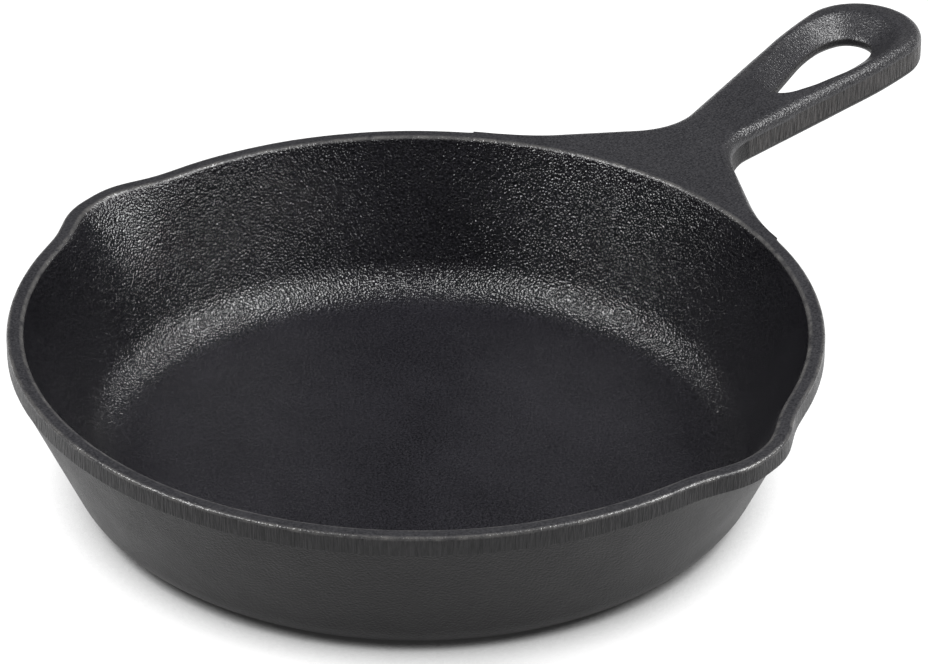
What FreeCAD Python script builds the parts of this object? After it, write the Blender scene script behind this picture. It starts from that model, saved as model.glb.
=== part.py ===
import FreeCAD, Part
import math
import os
import Sketcher
from FreeCAD import Placement, Rotation, Vector

# A small cast iron skillet: one grey iron casting, built as the regions of that casting.
# Origin: centre of the flat base, on the surface that the pan stands on.
# +X runs along the handle, +Z is up, and the two pour spouts lie on +Y and -Y.

# Driving dimensions in millimetres and degrees.
DRIVING = {
    # Pan
    "rim_radius": 82.5,            # outside of the upright ground band at the rim
    "rim_width": 3.3,              # flat top of the rim
    "pan_height": 35.2,            # base to rim, outside
    "band_height": 4.0,            # rim down to the mould's parting line
    "wall_top_radius": 82.3,       # outside of the flared wall at the parting line
    "outer_corner_radius": 67.9,   # where the outer wall's line meets the base plane
    "inner_corner_radius": 65.3,   # where the inner wall's line meets the cooking floor
    "floor_thickness": 4.2,
    "outer_knuckle": 11.4,         # rounding between base and wall, outside
    "inner_knuckle": 12.0,         # rounding between floor and wall, inside
    "knuckle_height": 12.0,        # where the floor region ends and the wall begins
    # Pour spouts
    "lip_radius": 26.0,            # plan radius of the lip, outside and inside at the rim
    "lip_reach": 3.75,             # how far the lip stands out past the rim circle
    "lip_angle": 28.0,             # share of the rim that one lip region takes
    "lip_chord": 80.5,             # inner side of the lip's outline, within the band
    "lip_blend": 9.0,              # rounding between the lip and the rim circle
    "groove_reach": 3.87,          # how far the groove cuts past the inner rim circle
    "groove_mid_radius": 23.0,     # plan radius of the groove at the parting line
    "groove_mid_reach": 79.7,      # outermost point of the groove at the parting line
    "groove_foot_radius": 9.0,     # plan radius of the groove where it runs out
    "groove_foot_height": 15.0,    # height at which the groove runs out
    # Handle, in plan: distances from the pan's centre, half widths and tangent rounds
    "handle_thickness": 8.1,
    "handle_taper": 7.3,           # degrees that each side opens towards the loop
    "handle_upper_edge": 2.6,      # rounding along the handle's upper edges
    "handle_lower_edge": 1.8,      # rounding along its lower edges
    "loop_centre_x": 164.6,
    "loop_radius": 13.85,
    "shoulder_radius": 141.0,      # soft turn from the tapered side into the loop
    "neck_start_x": 109.0,
    "neck_end_x": 124.0,
    "throat_radius": 15.6,         # hollow between the neck and the root's web
    "web_angle": 46.5,             # degrees that the root's sides make with the handle
    "flare_radius": 43.0,          # hollow between the web and the rim
    "root_lower_edge": 1.0,        # rounding along the root's lower edges
    "root_depth": 14.8,            # root's depth below the rim where it meets the wall
    # Teardrop hanging hole, in plan
    "hole_tip_radius": 1.55,
    "hole_taper": 12.4,            # degrees that each straight flank opens
    "hole_flank_radius": 43.0,
    "hole_wide_x": 156.3,
    "hole_half_width": 5.85,
    "hole_end_x": 165.3,
    "hole_end_radius": 5.0,
    "dish_width": 5.2,             # sloped border around the hole
    "dish_depth": 3.8,             # its depth on the upper side
    "dish_depth_below": 2.4,       # its depth on the underside
}

# Sizes that follow from the driving ones.
DERIVED = {
    "zero": "0",
    "full_turn": "360",
    "rim_inner_radius": "rim_radius - rim_width",
    "parting_height": "pan_height - band_height",
    "outer_slope": "(wall_top_radius - outer_corner_radius) / parting_height",
    "inner_slope": "(rim_inner_radius - inner_corner_radius) / (pan_height - floor_thickness)",
    "knuckle_outer": "outer_corner_radius + outer_slope * knuckle_height",
    "knuckle_inner": "inner_corner_radius + inner_slope * (knuckle_height - floor_thickness)",
    "band_inner": "inner_corner_radius + inner_slope * (parting_height - floor_thickness)",
    "rim_arc_angle": "180 - lip_angle",
    "lip_centre": "rim_radius + lip_reach - lip_radius",
    "lip_half_chord": "sqrt(lip_radius ^ 2 - (lip_chord - lip_centre) ^ 2)",
    "groove_top_centre": "rim_inner_radius + groove_reach - lip_radius",
    "groove_mid_centre": "groove_mid_reach - groove_mid_radius",
    "groove_foot_centre":
        "inner_corner_radius + inner_slope * (groove_foot_height - floor_thickness)"
        " - groove_foot_radius",
    # Handle outline: each round is tangent to the edges on both sides of it.
    "handle_underside": "pan_height - handle_thickness",
    "handle_end_x": "loop_centre_x + loop_radius",
    "shoulder_x": "loop_centre_x - shoulder_radius * sin(handle_taper)",
    "shoulder_y": "loop_radius - shoulder_radius * (1 - cos(handle_taper))",
    "neck_start_y": "shoulder_y - (shoulder_x - neck_start_x) * tan(handle_taper)",
    "neck_end_y": "shoulder_y - (shoulder_x - neck_end_x) * tan(handle_taper)",
    "web_end_x": "neck_start_x - throat_radius * (sin(handle_taper) + sin(web_angle))",
    "web_end_y": "neck_start_y + throat_radius * (cos(handle_taper) - cos(web_angle))",
    "web_offset": "web_end_x * sin(web_angle) + web_end_y * cos(web_angle)",
    "flare_angle":
        "asin((web_offset + flare_radius) / (rim_radius + flare_radius)) / 1 deg - web_angle",
    "flare_start_x": "rim_radius * cos(flare_angle)",
    "flare_start_y": "rim_radius * sin(flare_angle)",
    "web_start_x":
        "(rim_radius + flare_radius) * cos(flare_angle) - flare_radius * sin(web_angle)",
    "web_start_y":
        "(rim_radius + flare_radius) * sin(flare_angle) - flare_radius * cos(web_angle)",
    "root_foot": "pan_height - root_depth",
    "root_inner_x": "outer_corner_radius",
    "below_root": "root_foot - handle_thickness",
    "wall_at_foot": "outer_corner_radius + outer_slope * root_foot",
    "wall_below_root": "outer_corner_radius + outer_slope * below_root",
    "root_rise": "root_depth - handle_thickness",
    "root_arch": "((neck_start_x - wall_at_foot) ^ 2 + root_rise ^ 2) / (2 * root_rise)",
    "root_belly_drop": "parting_height - root_foot",
    "root_belly": "(flare_start_y ^ 2 + root_belly_drop ^ 2) / (2 * root_belly_drop)",
    # Hole outline, in the same way.
    "hole_flank_x": "hole_wide_x - hole_flank_radius * sin(hole_taper)",
    "hole_flank_y": "hole_half_width - hole_flank_radius * (1 - cos(hole_taper))",
    "hole_tip_centre":
        "hole_flank_x - (hole_flank_y - hole_tip_radius / cos(hole_taper)) / tan(hole_taper)",
    "hole_tip_x": "hole_tip_centre - hole_tip_radius * sin(hole_taper)",
    "hole_tip_y": "hole_tip_radius * cos(hole_taper)",
    "hole_end_centre": "hole_end_x - hole_end_radius",
    "hole_shoulder_radius":
        "((hole_end_centre - hole_wide_x) ^ 2 / (hole_half_width - hole_end_radius)"
        " + hole_half_width + hole_end_radius) / 2",
    "hole_round_x":
        "hole_end_centre + hole_end_radius * (hole_end_centre - hole_wide_x)"
        " / (hole_shoulder_radius - hole_end_radius)",
    "hole_round_y":
        "hole_end_radius * (hole_shoulder_radius - hole_half_width)"
        " / (hole_shoulder_radius - hole_end_radius)",
}


def make_sheet(document):
    """Put every size into a sheet, one aliased cell each."""
    table = document.addObject("Spreadsheet::Sheet", "dims")
    for row, (name, value) in enumerate(DRIVING.items(), start=1):
        table.set(f"A{row}", name)
        table.set(f"B{row}", str(value))
        table.setAlias(f"B{row}", name)
    for row, (name, formula) in enumerate(DERIVED.items(), start=1):
        table.set(f"D{row}", name)
        table.set(f"E{row}", "=" + formula)
        table.setAlias(f"E{row}", name)
    document.recompute()
    return table


doc = FreeCAD.newDocument("skillet")
sheet = make_sheet(doc)


def size(name):
    """The number in a cell; a leading minus sign turns it round."""
    if name.startswith("-"):
        return -float(sheet.get(name[1:]))
    return float(sheet.get(name))


def cell(name):
    """The expression that reads a cell; a leading minus sign turns it round."""
    if name.startswith("-"):
        return "-dims." + name[1:]
    return "dims." + name


def origin_feature(body, role):
    """One of the body's own origin planes or axes."""
    return next(feature for feature in body.Origin.OriginFeatures if feature.Role == role)


def turn_body(body, heading):
    """Turn a finished body about the pan's axis, in degrees."""
    body.Placement = Placement(Vector(0, 0, 0), Rotation(Vector(0, 0, 1), heading))


def check_cut(before, after):
    """Stop if a cut took nothing away."""
    if after.Shape.Volume > before.Shape.Volume - 1.0:
        raise ValueError(f"{after.Name} cuts nothing")


def new_body(label):
    body = doc.addObject("PartDesign::Body", label)
    body.Label = label
    return body


def new_sketch(body, name, plane_role, height=None):
    """A sketch on one of the body's own origin planes, raised by a cell's value."""
    sketch = body.newObject("Sketcher::SketchObject", name)
    sketch.AttachmentSupport = (origin_feature(body, plane_role), [""])
    sketch.MapMode = "FlatFace"
    if height:
        sketch.setExpression("AttachmentOffset.Base.z", cell(height))
    return sketch


def bind_point(sketch, geometry, end, x_name, y_name):
    """Hold one end of a line or arc at the place that two cells give."""
    for kind, name in (("DistanceX", x_name), ("DistanceY", y_name)):
        index = sketch.addConstraint(
            Sketcher.Constraint(kind, -1, 1, geometry, end, size(name)))
        sketch.setExpression(f"Constraints[{index}]", cell(name))


def arc_between(start, end, radius, side):
    """The short arc from start to end; side is 1 if its centre is on the left, else -1."""
    chord = end - start
    half = chord.Length / 2
    left = Vector(-chord.y, chord.x, 0).normalize()
    centre = (start + end) / 2 + left * side * math.sqrt(radius ** 2 - half ** 2)
    first, last = (start, end) if side > 0 else (end, start)
    angles = [math.atan2(point.y - centre.y, point.x - centre.x) for point in (first, last)]
    circle = Part.Circle(centre, Vector(0, 0, 1), radius)
    return Part.ArcOfCircle(circle, angles[0], angles[1])


def draw_loop(sketch, corners):
    """Draw a closed outline.

    Each corner is (x cell, y cell) and the edge that leaves it is straight, or
    (x cell, y cell, radius cell, side) and that edge is an arc.
    """
    points = [Vector(size(corner[0]), size(corner[1]), 0) for corner in corners]
    ends = []
    for number, corner in enumerate(corners):
        start = points[number]
        finish = points[(number + 1) % len(points)]
        if len(corner) == 2:
            index = sketch.addGeometry(Part.LineSegment(start, finish))
            ends.append((index, 1, 2))
            continue
        radius_name, side = corner[2:]
        index = sketch.addGeometry(arc_between(start, finish, size(radius_name), side))
        radius_index = sketch.addConstraint(
            Sketcher.Constraint("Radius", index, size(radius_name)))
        sketch.setExpression(f"Constraints[{radius_index}]", cell(radius_name))
        ends.append((index, 1, 2) if side > 0 else (index, 2, 1))
    for number, corner in enumerate(corners):
        index, first, _ = ends[number]
        before, _, last = ends[number - 1]
        sketch.addConstraint(Sketcher.Constraint("Coincident", before, last, index, first))
        bind_point(sketch, index, first, corner[0], corner[1])


def draw_circle(sketch, x_name, radius_name):
    """A circle centred on the sketch's horizontal axis."""
    centre = Vector(size(x_name), 0, 0)
    index = sketch.addGeometry(Part.Circle(centre, Vector(0, 0, 1), size(radius_name)))
    bind_point(sketch, index, 3, x_name, "zero")
    radius_index = sketch.addConstraint(
        Sketcher.Constraint("Radius", index, size(radius_name)))
    sketch.setExpression(f"Constraints[{radius_index}]", cell(radius_name))


def turn(body, name, corners, angle_name, kind="Revolution"):
    """Turn an outline in the XZ plane about the pan's axis, evenly to both sides."""
    sketch = new_sketch(body, name + "Outline", "XZ_Plane")
    draw_loop(sketch, corners)
    feature = body.newObject("PartDesign::" + kind, name)
    feature.Profile = sketch
    feature.ReferenceAxis = (sketch, ["V_Axis"])
    feature.Midplane = True
    feature.setExpression("Angle", cell(angle_name))
    doc.recompute()
    return feature


def raise_up(body, name, corners, height_name, length_name):
    """Pad an outline in plan from one height, upwards."""
    sketch = new_sketch(body, name + "Outline", "XY_Plane", height_name)
    draw_loop(sketch, corners)
    pad = body.newObject("PartDesign::Pad", name)
    pad.Profile = sketch
    pad.setExpression("Length", cell(length_name))
    doc.recompute()
    return pad


def cut_groove(body, name, foot, top):
    """Cut a conical groove between two circles: (height, centre, radius) cells each."""
    before = body.Tip
    sketches = []
    for part, (height, centre, radius) in (("Foot", foot), ("Top", top)):
        sketch = new_sketch(body, name + part, "XY_Plane", height)
        draw_circle(sketch, centre, radius)
        sketches.append(sketch)
    doc.recompute()
    loft = body.newObject("PartDesign::SubtractiveLoft", name)
    loft.Profile = sketches[0]
    loft.Sections = [sketches[1]]
    loft.Ruled = True
    doc.recompute()
    check_cut(before, loft)
    return loft


def edges_of(feature, wanted):
    """Names of the feature's edges that a test picks out."""
    return [f"Edge{number}" for number, edge in enumerate(feature.Shape.Edges, start=1)
            if wanted(edge)]


def round_edges(body, base, name, radius_name, wanted):
    fillet = body.newObject("PartDesign::Fillet", name)
    fillet.Base = (base, edges_of(base, wanted))
    fillet.setExpression("Radius", cell(radius_name))
    doc.recompute()
    return fillet


def at_height(edge, height):
    """True if the edge lies flat at this height."""
    return abs(edge.BoundBox.ZMin - height) < 0.01 and abs(edge.BoundBox.ZMax - height) < 0.01


def make_pan_floor():
    """The cooking floor and the rounded knuckle that turns up into the wall."""
    body = new_body("pan_floor")
    dish = turn(body, "Dish", [
        ("zero", "zero"),
        ("outer_corner_radius", "zero"),
        ("knuckle_outer", "knuckle_height"),
        ("knuckle_inner", "knuckle_height"),
        ("inner_corner_radius", "floor_thickness"),
        ("zero", "floor_thickness"),
    ], "full_turn")
    outer = round_edges(body, dish, "OuterKnuckle", "outer_knuckle",
                        lambda edge: at_height(edge, 0.0))
    round_edges(body, outer, "InnerKnuckle", "inner_knuckle",
                lambda edge: at_height(edge, size("floor_thickness")))
    return body


def make_side_wall():
    """The flared wall from the knuckle up to the parting line, with the spouts' grooves."""
    body = new_body("side_wall")
    turn(body, "Flare", [
        ("knuckle_inner", "knuckle_height"),
        ("knuckle_outer", "knuckle_height"),
        ("wall_top_radius", "parting_height"),
        ("band_inner", "parting_height"),
    ], "full_turn")
    for name, sign in (("LeftGroove", ""), ("RightGroove", "-")):
        cut_groove(body, name,
                   ("groove_foot_height", sign + "groove_foot_centre", "groove_foot_radius"),
                   ("parting_height", sign + "groove_mid_centre", "groove_mid_radius"))
    turn_body(body, 90)
    return body


BAND = [
    ("band_inner", "parting_height"),
    ("rim_radius", "parting_height"),
    ("rim_radius", "pan_height"),
    ("rim_inner_radius", "pan_height"),
]


def make_rim_arc(label, heading):
    """One of the two arcs of upright band that the spouts leave between them."""
    body = new_body(label)
    turn(body, "Band", BAND, "rim_arc_angle")
    turn_body(body, heading)
    return body


def make_pour_lip(label, heading):
    """A spout: the band drawn outwards into a lip, with the groove's mouth in it."""
    body = new_body(label)
    turn(body, "Band", BAND, "lip_angle")
    lip = raise_up(body, "Lip", [
        ("lip_chord", "-lip_half_chord", "lip_radius", 1),
        ("lip_chord", "lip_half_chord"),
    ], "parting_height", "band_height")
    round_edges(body, lip, "LipBlend", "lip_blend", is_lip_corner)
    cut_groove(body, "GrooveMouth",
               ("parting_height", "groove_mid_centre", "groove_mid_radius"),
               ("pan_height", "groove_top_centre", "lip_radius"))
    turn_body(body, heading)
    return body


def is_lip_corner(edge):
    """True for the two upright edges where the lip leaves the rim circle."""
    box = edge.BoundBox
    upright = box.ZLength > 0.9 * size("band_height") and box.XLength < 0.01
    on_rim = abs(math.hypot(box.XMin, box.YMin) - size("rim_radius")) < 0.05
    bearing = abs(math.degrees(math.atan2(box.YMin, box.XMin)))
    return upright and on_rim and bearing < size("lip_angle") / 2 - 0.5


def cut_through(body, name, plane_role, corners):
    """Cut a profile on an origin plane right through, to both sides."""
    before = body.Tip
    sketch = new_sketch(body, name + "Outline", plane_role)
    draw_loop(sketch, corners)
    pocket = body.newObject("PartDesign::Pocket", name)
    pocket.Profile = sketch
    pocket.Type = "ThroughAll"
    pocket.Midplane = True
    doc.recompute()
    check_cut(before, pocket)
    return pocket


def make_handle_root():
    """The web that flares from the neck into the rim and the wall."""
    body = new_body("handle_root")
    raise_up(body, "Web", [
        ("root_inner_x", "-flare_start_y"),
        ("flare_start_x", "-flare_start_y", "flare_radius", -1),
        ("web_start_x", "-web_start_y"),
        ("web_end_x", "-web_end_y", "throat_radius", -1),
        ("neck_start_x", "-neck_start_y"),
        ("neck_start_x", "neck_start_y", "throat_radius", -1),
        ("web_end_x", "web_end_y"),
        ("web_start_x", "web_start_y", "flare_radius", -1),
        ("flare_start_x", "flare_start_y"),
        ("root_inner_x", "flare_start_y"),
    ], "root_foot", "root_depth")
    cut_through(body, "ArchAlong", "XZ_Plane", [
        ("wall_at_foot", "root_foot", "root_arch", -1),
        ("neck_start_x", "handle_underside"),
        ("neck_start_x", "below_root"),
        ("wall_at_foot", "below_root"),
    ])
    web = cut_through(body, "ArchAcross", "YZ_Plane", [
        ("-flare_start_y", "parting_height", "root_belly", 1),
        ("flare_start_y", "parting_height"),
        ("flare_start_y", "below_root"),
        ("-flare_start_y", "below_root"),
    ])
    upper = round_edges(body, web, "UpperEdges", "handle_upper_edge", root_side_edges(web, True))
    lower = round_edges(body, upper, "LowerEdges", "root_lower_edge",
                        root_side_edges(upper, False))
    seat = turn(body, "PanSurface", [
        ("zero", "below_root"),
        ("wall_below_root", "below_root"),
        ("wall_top_radius", "parting_height"),
        ("rim_radius", "parting_height"),
        ("rim_radius", "pan_height"),
        ("zero", "pan_height"),
    ], "full_turn", kind="Groove")
    check_cut(lower, seat)
    return body


def root_side_edges(feature, upper):
    """A test for the edges along the root's upright sides, at the top or the bottom."""
    side_edges = []
    for face in feature.Shape.Faces:
        box = face.BoundBox
        normal = face.normalAt(*face.Surface.parameter(face.CenterOfMass))
        inner = box.XMax < size("flare_start_x") + 0.5
        across = box.XLength < 0.01
        if abs(normal.z) < 0.01 and not inner and not across:
            side_edges += face.Edges

    def test(edge):
        box = edge.BoundBox
        high = box.ZMin > size("parting_height") - 0.5
        flat = box.XLength > 0.1 or box.YLength > 0.1
        return flat and high == upper and any(edge.isSame(other) for other in side_edges)
    return test


def is_long_edge(height):
    """A test for the handle's outer edges at one height."""
    end = size("neck_end_x"), size("neck_start_x")

    def test(edge):
        if not at_height(edge, height):
            return False
        box = edge.BoundBox
        return not any(abs(box.XMin - x) < 0.01 and abs(box.XMax - x) < 0.01 for x in end)
    return test


def make_handle_neck():
    """The narrow, tapered part of the handle."""
    body = new_body("handle_neck")
    bar = raise_up(body, "Bar", [
        ("neck_start_x", "-neck_start_y"),
        ("neck_end_x", "-neck_end_y"),
        ("neck_end_x", "neck_end_y"),
        ("neck_start_x", "neck_start_y"),
    ], "handle_underside", "handle_thickness")
    upper = round_edges(body, bar, "UpperEdges", "handle_upper_edge",
                        is_long_edge(size("pan_height")))
    round_edges(body, upper, "LowerEdges", "handle_lower_edge",
                is_long_edge(size("handle_underside")))
    return body


def make_hanging_loop():
    """The handle's end: a teardrop hole in a dished border, with rounded edges."""
    body = new_body("hanging_loop")
    paddle = raise_up(body, "Paddle", [
        ("neck_end_x", "-neck_end_y"),
        ("shoulder_x", "-shoulder_y", "shoulder_radius", 1),
        ("loop_centre_x", "-loop_radius", "loop_radius", 1),
        ("handle_end_x", "zero", "loop_radius", 1),
        ("loop_centre_x", "loop_radius", "shoulder_radius", 1),
        ("shoulder_x", "shoulder_y"),
        ("neck_end_x", "neck_end_y"),
    ], "handle_underside", "handle_thickness")
    upper = round_edges(body, paddle, "UpperEdges", "handle_upper_edge",
                        is_long_edge(size("pan_height")))
    round_edges(body, upper, "LowerEdges", "handle_lower_edge",
                is_long_edge(size("handle_underside")))
    hole = cut_through(body, "Hole", "XY_Plane", [
        ("hole_tip_x", "-hole_tip_y"),
        ("hole_flank_x", "-hole_flank_y", "hole_flank_radius", 1),
        ("hole_wide_x", "-hole_half_width", "hole_shoulder_radius", 1),
        ("hole_round_x", "-hole_round_y", "hole_end_radius", 1),
        ("hole_round_x", "hole_round_y", "hole_shoulder_radius", 1),
        ("hole_wide_x", "hole_half_width", "hole_flank_radius", 1),
        ("hole_flank_x", "hole_flank_y"),
        ("hole_tip_x", "hole_tip_y", "hole_tip_radius", 1),
    ])
    upper = slope_border(body, hole, "UpperDish", size("pan_height"), "dish_depth", False)
    slope_border(body, upper, "LowerDish", size("handle_underside"), "dish_depth_below", True)
    return body


def slope_border(body, base, name, height, depth_name, flip):
    """Slope the hole's edge at one height to a depth, all round; flip swaps the two legs."""
    reach = size("hole_tip_x") - size("hole_tip_radius") - 1
    half = size("hole_half_width") + 1

    def at_hole(edge):
        box = edge.BoundBox
        return at_height(edge, height) and box.XMin > reach and abs(box.YMin) < half \
            and abs(box.YMax) < half and box.XMax < size("hole_end_x") + 1

    chamfer = body.newObject("PartDesign::Chamfer", name)
    chamfer.Base = (base, edges_of(base, at_hole))
    chamfer.ChamferType = "Two distances"
    chamfer.setExpression("Size", cell("dish_width"))
    chamfer.setExpression("Size2", cell(depth_name))
    chamfer.FlipDirection = flip
    doc.recompute()
    check_cut(base, chamfer)
    return chamfer


def check_document():
    """Stop if any feature failed."""
    failed = [item.Name for item in doc.Objects
              if "Invalid" in item.State or "Error" in item.State]
    if failed:
        raise RuntimeError("failed features: " + ", ".join(failed))


def export(bodies):
    """Check each region's solid and write it to its own file."""
    for body in bodies:
        shape = body.Shape
        if shape.isNull() or not shape.isValid() or len(shape.Solids) != 1:
            raise RuntimeError(body.Label + " is not one valid solid")
    os.makedirs("parts", exist_ok=True)
    for body in bodies:
        body.Shape.exportStep(f"parts/{body.Label}.step")


def main():
    bodies = [
        make_pan_floor(),
        make_side_wall(),
        make_rim_arc("rim_handle_side", 0),
        make_rim_arc("rim_far_side", 180),
        make_pour_lip("pour_lip_left", 90),
        make_pour_lip("pour_lip_right", -90),
        make_handle_root(),
        make_handle_neck(),
        make_hanging_loop(),
    ]
    doc.recompute()
    check_document()
    export(bodies)


main()
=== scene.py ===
import math

import bpy
import numpy as np
from mathutils import Matrix, Vector


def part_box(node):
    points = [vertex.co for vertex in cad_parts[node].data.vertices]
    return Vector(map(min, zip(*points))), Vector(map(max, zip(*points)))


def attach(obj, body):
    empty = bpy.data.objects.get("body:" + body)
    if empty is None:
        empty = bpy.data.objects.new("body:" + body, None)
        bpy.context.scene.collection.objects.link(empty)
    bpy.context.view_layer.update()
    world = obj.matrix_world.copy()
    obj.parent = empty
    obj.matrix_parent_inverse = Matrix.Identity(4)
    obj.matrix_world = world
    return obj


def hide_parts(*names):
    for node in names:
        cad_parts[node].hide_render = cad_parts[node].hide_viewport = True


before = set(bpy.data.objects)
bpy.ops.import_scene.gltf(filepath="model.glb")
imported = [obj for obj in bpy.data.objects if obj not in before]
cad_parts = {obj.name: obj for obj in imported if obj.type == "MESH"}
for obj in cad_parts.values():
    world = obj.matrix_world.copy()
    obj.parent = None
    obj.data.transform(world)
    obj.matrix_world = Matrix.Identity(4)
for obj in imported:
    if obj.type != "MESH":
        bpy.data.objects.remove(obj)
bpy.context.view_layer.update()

MM = 0.001

# ---------------------------------------------------------------- sizes, in millimetres
# Those that the CAD boxes give are read from them. The rest repeat the CAD model's own.


def node_box(name):
    """Lowest and highest corner of a CAD node, in millimetres."""
    low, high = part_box(name)
    return np.array(low) / MM, np.array(high) / MM


RIM_LOW, RIM_HIGH = node_box("rim_far_side")
NECK_LOW, NECK_HIGH = node_box("handle_neck")
LIP_HIGH = node_box("pour_lip_left")[1]
LOOP_HIGH = node_box("hanging_loop")[1]

RIM_Z = RIM_HIGH[2]
PARTING_Z = RIM_LOW[2]
KNUCKLE_Z = node_box("side_wall")[0][2]
HANDLE_UNDERSIDE = NECK_LOW[2]
ROOT_FOOT = node_box("handle_root")[0][2]
NECK_START = NECK_LOW[0]
NECK_END = NECK_HIGH[0]
LOOP_RADIUS = LOOP_HIGH[1]
LOOP_CENTRE = LOOP_HIGH[0] - LOOP_RADIUS

RIM_RADIUS = 82.5
RIM_WIDTH = 3.3
WALL_TOP_RADIUS = 82.3
OUTER_CORNER = 67.9            # outer wall's line meets the base plane
INNER_CORNER = 65.3            # inner wall's line meets the cooking floor
FLOOR_Z = 4.2
OUTER_KNUCKLE = 11.4
INNER_KNUCKLE = 12.0
LIP_REACH = LIP_HIGH[1] - RIM_RADIUS
LIP_SPREAD = 0.153             # half-angle of a lip, in radians
LIP_FULLNESS = 2.95            # 2 is a bell, more is squarer
GROOVE_REACH = 3.87
GROOVE_FOOT = 15.0
GROOVE_SPREAD = 0.147
GROOVE_FULLNESS = 2.47
INNER_RIM_EDGE = 0.8           # rounding of the rim's edges
OUTER_RIM_EDGE = 0.9
HANDLE_TAPER = math.radians(7.3)
WEB_ANGLE = math.radians(46.5)
SHOULDER_RADIUS = 141.0
THROAT_RADIUS = 15.6
FLARE_RADIUS = 43.0
UPPER_EDGE = 2.6               # rounding along the handle
LOWER_EDGE = 1.8
ROOT_LOWER_EDGE = 1.0
HOLE_TIP_RADIUS = 1.55
HOLE_TAPER = math.radians(12.4)
HOLE_FLANK_RADIUS = 43.0
HOLE_WIDE_X = 156.3
HOLE_HALF_WIDTH = 5.85
HOLE_END_X = 165.3
HOLE_END_RADIUS = 5.0
DISH_DEPTH = 3.8
DISH_DEPTH_BELOW = 2.4

INNER_RIM = RIM_RADIUS - RIM_WIDTH
OUTER_SLOPE = (WALL_TOP_RADIUS - OUTER_CORNER) / PARTING_Z
INNER_SLOPE = (INNER_RIM - INNER_CORNER) / (RIM_Z - FLOOR_Z)
OUTER_TILT = math.pi / 2 - math.atan(OUTER_SLOPE)   # wall's angle above level
INNER_TILT = math.pi / 2 - math.atan(INNER_SLOPE)

COLUMNS = 1152                 # points round the pan; the rim has twice as many
LIP_COLUMNS = 90               # half a lip, in the rim's columns


# ---------------------------------------------------------------- noise and small helpers

def smooth(value, low, high):
    """0 below low, 1 above high, and a soft step between."""
    t = np.clip((value - low) / (high - low), 0.0, 1.0)
    return t * t * (3 - 2 * t)


def value_noise(points, cell, seed):
    """Smooth random values from -1 to 1, with features about as wide as a cell."""
    scaled = points / np.asarray(cell)
    base = np.floor(scaled).astype(np.int64)
    fraction = scaled - base
    fraction = fraction * fraction * (3 - 2 * fraction)
    total = np.zeros(len(points))
    for corner in np.ndindex(2, 2, 2):
        key = (base + corner) * np.array([73856093, 19349663, 83492791])
        mixed = (key[:, 0] ^ key[:, 1] ^ key[:, 2] ^ (seed * 9176 + 77)) & 0xFFFFFFFF
        mixed = ((mixed ^ (mixed >> 15)) * 0x2C1B3C6D) & 0xFFFFFFFF
        mixed = ((mixed ^ (mixed >> 12)) * 0x297A2D39) & 0xFFFFFFFF
        mixed ^= mixed >> 15
        weight = np.prod(np.where(np.array(corner) == 1, fraction, 1 - fraction), axis=1)
        total += weight * (mixed / 0x7FFFFFFF - 1)
    return total


WAVE = 0.035                   # height of the casting's slow waves
PEBBLE = 0.022                 # height of the moulding sand's print
EDGE_MARKS = 0.06              # depth of the grinding marks on the rim's outer edge
BAND_MARKS = 0.07              # and on its band
MARK_CELL = 0.34               # width of a mark on the rim
SHARP_FROM = math.radians(46)  # two faces that meet at more than this show a crisp edge


def relief(points, grain):
    """Height of the cast surface at each point, never above the ideal one."""
    waves = 0.65 * value_noise(points, 13.0, 1) + 0.35 * value_noise(points, 5.0, 2)
    pebbles = 0.45 * value_noise(points, 1.25, 3) + 0.55 * value_noise(points, 0.8, 4)
    return WAVE * (waves - 1) + PEBBLE * grain * (pebbles - 1)


def streaks(along, height, cell, seed):
    """Height of upright grinding marks, from -1 to 0, at places along an edge."""
    points = np.stack([along, height * 0.06 / cell, np.full_like(along, 0.5)], axis=1)
    fine = value_noise(points, (cell, 0.5, 1.0), seed)
    broad = value_noise(points, (cell * 3.1, 0.8, 1.0), seed + 1)
    return 0.5 * (0.7 * fine + 0.3 * broad) - 0.5


# ---------------------------------------------------------------- closed meshes, row by row

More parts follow.
